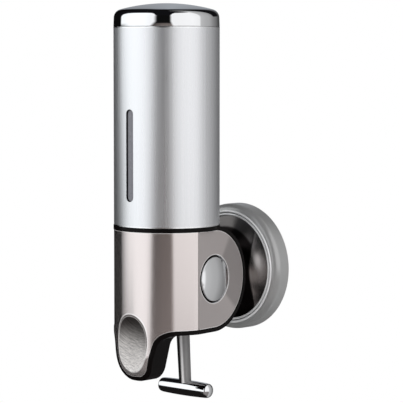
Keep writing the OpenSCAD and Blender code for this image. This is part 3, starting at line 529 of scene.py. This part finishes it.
CHROME = material("polished_chrome", chrome_build, metallic=1.0)
STEM_PAINTED = material("satin_stem_painted_reflection", stem_reflection_build, metallic=0.1, specular_IOR_level=0.15)
ROSE = material("rose_chrome", rose_build)
SLEEVE = material("satin_sleeve", sleeve_build, metallic=1.0, anisotropic=0.8)
COVER = material("brushed_cover", cover_build, metallic=1.0, anisotropic=0.5)
LINER = material("turned_liner", liner_build, metallic=0.4)
PLASTIC = material("black_gloss_plastic", plastic_build, specular_IOR_level=0.08)
TANK = material("translucent_tank", tank_build, IOR=1.5)
MOULDED = material("white_moulding", moulded_build, roughness=0.45)
RUBBER = material("seal_rubber", rubber_build, roughness=0.6)
STEEL = material("machined_steel", steel_build, metallic=1.0)
HUB = material("painted_hub", hub_build, roughness=0.4)
BY_SLOT = {
    "sleeve_steel": SLEEVE, "cover_steel": COVER, "liner_steel": LINER, "polished_chrome": CHROME,
    "black_plastic": PLASTIC, "tank_plastic": TANK, "pump_plastic": MOULDED, "seal_rubber": RUBBER,
    "steel_parts": STEEL, "hub_metal": HUB,
}
slots = {p["node"]: p["material_slot"] for p in frame["record"]["subparts"]}
for name, obj in nodes.items():
    obj.data.materials.clear()
    obj.data.materials.append(STEM_PAINTED if name == "lever_stem" else BY_SLOT[slots[name]])


# Geometry helpers: everything is drawn in millimetres and placed in the CAD's frame

SMOOTH_BELOW = 32  # faces that meet at a smaller angle are shaded as one surface


def arc(centre, r, a0, a1, n):
    """Points of an arc from angle a0 to a1, in n parts."""
    angles = [radians(a0 + (a1 - a0) * i / n) for i in range(n + 1)]
    return [(centre[0] + r * cos(a), centre[1] + r * sin(a)) for a in angles]


def finish_mesh(name, bm, mat, body, replaced, place_at):
    """Makes a piece of a mesh, on a body and in place of the nodes that it replaces."""
    bm.transform(place_at)
    bm.transform(Matrix.Scale(MM, 4))
    bmesh.ops.recalc_face_normals(bm, faces=bm.faces)
    mesh = bpy.data.meshes.new(name)
    bm.to_mesh(mesh)
    bm.free()
    mesh.shade_smooth()
    mesh.set_sharp_from_angle(angle=radians(SMOOTH_BELOW))
    mesh.materials.append(mat)
    obj = bpy.data.objects.new(name, mesh)
    scene.collection.objects.link(obj)
    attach(obj, body)
    if replaced:
        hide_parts(*replaced)
    return obj


def lathe(outline, n=256, closed=True, shift=None):
    """Mesh of an outline of (radius, height) points turned about Z. shift(k) moves the ring of point k."""
    bm = bmesh.new()
    turns = [2 * pi * i / n for i in range(n)]
    rings = []
    for k, (r, z) in enumerate(outline):
        moved = Vector(shift(k)) if shift else Vector((0, 0, 0))
        if r < 1e-6:
            rings.append([bm.verts.new((0, 0, z))])
        else:
            rings.append([bm.verts.new(Vector((r * cos(a), r * sin(a), z)) + moved) for a in turns])
    pairs = zip(rings, rings[1:] + rings[:1]) if closed else zip(rings, rings[1:])
    for one, two in pairs:
        if len(one) == 1 and len(two) == 1:
            continue
        for i in range(n):
            j = (i + 1) % n
            if len(one) == 1:
                bm.faces.new((one[0], two[j], two[i]))
            elif len(two) == 1:
                bm.faces.new((one[i], one[j], two[0]))
            else:
                bm.faces.new((one[i], one[j], two[j], two[i]))
    return bm


# Lid: crown and corner arcs that run into each other, a leaning wall, a rounded rim and the skirt

def make_lid():
    crown_r, corner_r, wall, height, lean, drawn_in = 121.0, 6.0, 1.6, 15.9, 2.5, 0.22
    skirt_r, skirt_t, skirt_h, chamfer, rim_h, rim_r, seam = 33.2, 2.4, 6, 0.4, 3, 0.35, 0.02
    crown = degrees(asin((SLEEVE_R - drawn_in - corner_r) / (crown_r - corner_r)))
    crown_c = (0, height - crown_r)
    corner_c = (SLEEVE_R - drawn_in - corner_r, crown_c[1] + (crown_r - corner_r) * cos(radians(crown)))

    def shell(inset):
        return (arc(crown_c, crown_r - inset, 90, 90 - crown, 28)
                + arc(corner_c, corner_r - inset, 90 - crown, lean, 26)[1:])

    rim = arc((SLEEVE_R - rim_r, rim_r + seam), rim_r, 0, -90, 5)
    skirt = [(skirt_r, seam), (skirt_r, chamfer - skirt_h), (skirt_r - chamfer, -skirt_h),
             (skirt_r - skirt_t, -skirt_h), (skirt_r - skirt_t, rim_h), (SLEEVE_R - wall, rim_h)]
    outline = shell(0) + rim + skirt + shell(wall)[::-1]
    finish_mesh("lid_shell", lathe(outline), CHROME, "lid_group", ["lid"],
                Matrix.Translation((0, -REACH, SLEEVE_TOP)))


make_lid()


# Pivot caps: a domed mirror face with a rounded rim, and a thin bright ring round it

def make_cap(side):
    r, proud, dome, rim_r = 15.0, 0.6, 50.0, 0.5
    recess, spigot_r, spigot_z = 0.8, 5, -3
    seat_in, seat_out, seat_top = 15.95, 16.5, -0.05
    half = degrees(asin((r - rim_r) / dome))
    centre = proud - dome * cos(radians(half))
    face = arc((0, centre), dome, 90, 90 - half, 14)
    edge = arc((r - rim_r, proud - rim_r), rim_r, 90 - half, 0, 6)[1:]
    outline = face + edge + [(r, -recess), (spigot_r, -recess), (spigot_r, spigot_z), (0, spigot_z)]
    side_x = (SIDE_DIST - PIVOT_BACK * sin(radians(SIDE_ANGLE))) / cos(radians(SIDE_ANGLE))
    at = (Matrix.Translation((side_x, PIVOT.y, PIVOT.z)) @ Matrix.Rotation(radians(SIDE_ANGLE), 4, "Z")
          @ Matrix.Rotation(pi / 2, 4, "Y"))
    if side < 0:
        at = Matrix.Scale(-1, 4, (1, 0, 0)) @ at
    name = "pivot_cap_right" if side > 0 else "pivot_cap_left"
    finish_mesh(name + "_face", lathe(outline, 160), CHROME, "dispenser", [name], at)
    seat = lathe([(seat_in, -recess), (seat_out, seat_top), (seat_out, -recess)], 160)
    finish_mesh(name + "_seat", seat, CHROME, "dispenser", None, at)


make_cap(1)
make_cap(-1)


# T-bar: a little thicker in the middle, with rounded rims and domed ends

def make_t_bar():
    half, middle_r, end_r, rim_r, dome_r = 23.3, 5.5, 4.9, 1.8, 8.0
    sag = middle_r - end_r
    bow_r = (half ** 2 + sag ** 2) / (2 * sag)
    dome = degrees(asin((end_r - rim_r) / (dome_r - rim_r)))
    rim_at = half - dome_r + (dome_r - rim_r) * cos(radians(dome))
    bow = degrees(asin(rim_at / (bow_r - rim_r)))
    end = (arc((0, half - dome_r), dome_r, 90, 90 - dome, 10)
           + arc((end_r - rim_r, rim_at), rim_r, 90 - dome, bow, 10)[1:]
           + arc((middle_r - bow_r, 0), bow_r, bow, 0, 16)[1:])
    outline = end + [(r, -x) for r, x in end[-2::-1]]
    at_stem = Matrix.Translation((0, PIVOT.y + STEM_BACK, PIVOT.z)) @ Matrix.Rotation(radians(180 + STEM_LEAN), 4, "X")
    finish_mesh("t_bar_round", lathe(outline, 96, closed=False), CHROME, "pull_lever", ["t_bar"],
                at_stem @ Matrix.Translation((0, 0, STEM_LEN)) @ Matrix.Rotation(pi / 2, 4, "Y"))


make_t_bar()


# Wall rose: a rounded front edge, two beads inside it, and a face that flares out to a collar round the neck

def make_rose():
    rose_r, side_len, edge_r, border, step, wall = 44.2, 7.9, 5.5, 6.4, 1.2, 1.2
    slope, flare_r, collar_r, hole_r = 9, 30.0, 18.5, 15.1
    front = side_len + edge_r
    centre = (rose_r - border + flare_r * sin(radians(slope)), front - step + flare_r * cos(radians(slope)))
    start = degrees(asin((centre[0] - BEAD_IN) / flare_r))
    steep = degrees(asin((centre[0] - collar_r) / flare_r))
    lip = centre[1] - flare_r * cos(radians(steep))
    collar = lip + 0.17
    outline = [(rose_r, 0.0)] + arc((rose_r - edge_r, side_len), edge_r, 0, 78, 18)
    outline += arc((OUTER_BEAD[0], front - 0.2), OUTER_BEAD[1], 10, 180, 10)
    outline += [(38.1, front - 1.1), (37.75, front - 1.1)]
    outline += arc((INNER_BEAD[0], front - 0.4), INNER_BEAD[1], 0, 180, 10)
    outline += arc(centre, flare_r, -90 - start, -90 - steep, 30)
    outline += [(collar_r - 0.15, lip + 0.12), (collar_r - 0.4, collar)]
    hole = len(outline)
    outline += [(hole_r, collar), (hole_r, lip - wall)]
    outline += arc(centre, flare_r + wall, -90 - steep, -90 - slope, 12)
    outline += [(rose_r - wall, side_len), (rose_r - wall, 0.0)]

    def shift(k):
        return 0, -PIVOT_DROP if hole <= k < hole + 2 else 0, 0

    finish_mesh("wall_rose_shell", lathe(outline, 320, shift=shift), ROSE, "dispenser", ["wall_rose"],
                Matrix.Rotation(pi / 2, 4, "X"))


make_rose()


# Return spring: a round wire that is pressed together against its top end as the pump's plunger rises

def make_spring():
    wire_r, mean_r, turns, stroke = 0.55, 11.15, 6, 6.34
    lowest, highest = (corner / MM for corner in map(Vector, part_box("return_spring")))
    pump_y = (lowest.y + highest.y) / 2
    low, high = lowest.z + wire_r, highest.z - wire_r
    count, sides = 40 * turns, 10
    bm = bmesh.new()
    rings = []
    for i in range(count + 1):
        a = 2 * pi * turns * i / count
        z = low + (high - low) * i / count
        rings.append([bm.verts.new((r * cos(a), r * sin(a), z + up))
                      for r, up in arc((mean_r, 0), wire_r, 0, 360, sides)[:-1]])
    for one, two in zip(rings, rings[1:]):
        for k in range(sides):
            j = (k + 1) % sides
            bm.faces.new((one[k], one[j], two[j], two[k]))
    bm.faces.new(rings[0])
    bm.faces.new(rings[-1])
    coil = finish_mesh("return_spring_coil", bm, STEEL, "dispenser", ["return_spring"],
                       Matrix.Translation((0, pump_y, 0)))
    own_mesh(coil)


make_spring()


# Floor: pale, and white to the camera. Gloss looks through it at the studio's own floor, and a view from
# underneath sees the part through it.

def make_floor():
    floor_r, floor_z = 4.0, -0.6
    mesh = bpy.data.meshes.new("floor")
    mesh.from_pydata([(x, y, floor_z) for x, y in arc((0, 0), floor_r, 0, 360, 64)[:-1]], [], [range(64)])
    floor = bpy.data.objects.new("floor", mesh)
    scene.collection.objects.link(floor)
    made = bpy.data.materials.new("floor")
    made.use_nodes = True
    g = Graph(made.node_tree)
    path = g.node("ShaderNodeLightPath")
    seen = g.math("MAXIMUM", path.outputs["Is Camera Ray"], path.outputs["Is Transmission Ray"])
    glow = g.node("ShaderNodeEmission", {0: WHITE, 1: 1.0})
    matt = g.node("ShaderNodeBsdfDiffuse", {0: grey(0.85)})
    both = g.node("ShaderNodeMixShader", {0: seen, 1: matt.outputs[0], 2: glow.outputs[0]})
    clear = g.node("ShaderNodeBsdfTransparent")
    under = g.node("ShaderNodeNewGeometry").outputs["Backfacing"]
    through = g.math("MAXIMUM", path.outputs["Is Glossy Ray"], under)
    final = g.node("ShaderNodeMixShader", {0: through, 1: both.outputs[0], 2: clear.outputs[0]})
    g.node("ShaderNodeOutputMaterial", {0: final.outputs[0]})
    mesh.materials.append(made)


make_floor()
